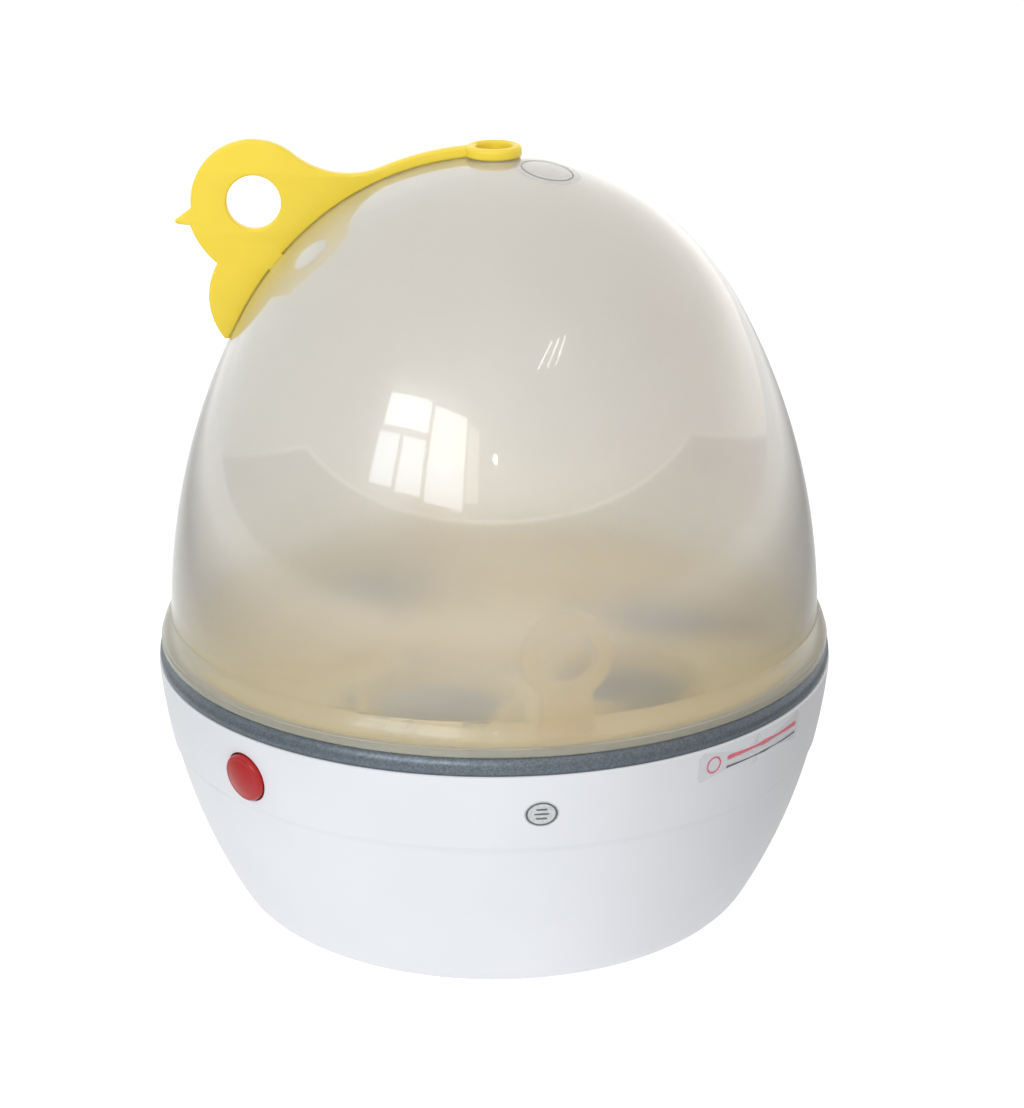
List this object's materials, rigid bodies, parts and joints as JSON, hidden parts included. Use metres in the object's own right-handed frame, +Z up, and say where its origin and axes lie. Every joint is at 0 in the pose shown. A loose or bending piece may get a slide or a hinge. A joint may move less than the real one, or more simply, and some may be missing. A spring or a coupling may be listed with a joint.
{
  "type": "egg cooker",
  "caption": "Egg-shaped steam egg cooker: bowl base with heating dish and push button, lift-out egg tray, frosted dome lid with a flat bird-shaped handle.",
  "frame": {"origin": "on the vertical axis, on the plane that the four feet stand on", "axes": "+Z up along the axis of the dome, -Y towards the front, the handle lies on the -X side"},
  "size_m": [0.1638, 0.1638, 0.19],
  "materials": {
    "white_plastic": "gloss, lightly orange-peeled",
    "graphite_paint": "satin metallic",
    "frosted_dome": "milky translucent plastic, glossy outside",
    "yellow_plastic": "gloss",
    "red_plastic": "gloss, translucent",
    "pan_steel": "brushed",
    "spreader_aluminium": "satin",
    "element_sheath": "oxidised",
    "screw_steel": "bright zinc",
    "grey_rubber": "matte",
    "red_silicone": "matte",
    "ceramic_white": "glazed",
    "sleeve_fabric": "woven glass fibre",
    "black_plastic": "matte",
    "natural_plastic": "matte",
    "terminal_brass": "bright",
    "wire_brown": "matte",
    "wire_white": "matte"
  },
  "bodies": {
    "base": {"outer_body": "white_plastic", "bottom_cover": "white_plastic", "cover_screws": "screw_steel", "rubber_feet": "grey_rubber", "trim_ring": "graphite_paint", "trim_screws": "screw_steel", "water_pan": "pan_steel", "pan_seal": "red_silicone", "heat_spreader": "spreader_aluminium", "heating_element": "element_sheath", "element_clips": "screw_steel", "thermostat": "ceramic_white", "thermostat_bracket": "screw_steel", "bracket_screws": "screw_steel", "thermal_fuse": "ceramic_white", "fuse_sleeve": "sleeve_fabric", "push_switch": "black_plastic", "switch_screws": "screw_steel", "terminal_block": "natural_plastic", "terminal_screws": "terminal_brass", "supply_wires": "wire_brown", "heater_wires": "wire_white", "cord_gland": "grey_rubber", "cord_clamp": "natural_plastic", "clamp_screws": "screw_steel"},
    "button": {"power_button": "red_plastic", "button_spring": "screw_steel"},
    "tray": {"egg_tray": "yellow_plastic"},
    "lid": {"dome_lid": "frosted_dome", "chick_handle": "yellow_plastic"}
  },
  "joints": [
    {"name": "button_press", "type": "slide", "parent": "base", "child": "button", "axis": [0.6989, 0.6989, 0.1515], "range_m": [0, 0.0016], "stiffness_N_per_m": 800, "springref_m": -0.002},
    {"name": "tray_lift", "type": "slide", "parent": "base", "child": "tray", "axis": [0, 0, 1], "range_m": [0, 0.06]},
    {"name": "lid_lift", "type": "slide", "parent": "tray", "child": "lid", "axis": [0, 0, 1], "range_m": [0, 0.12]}
  ]
}
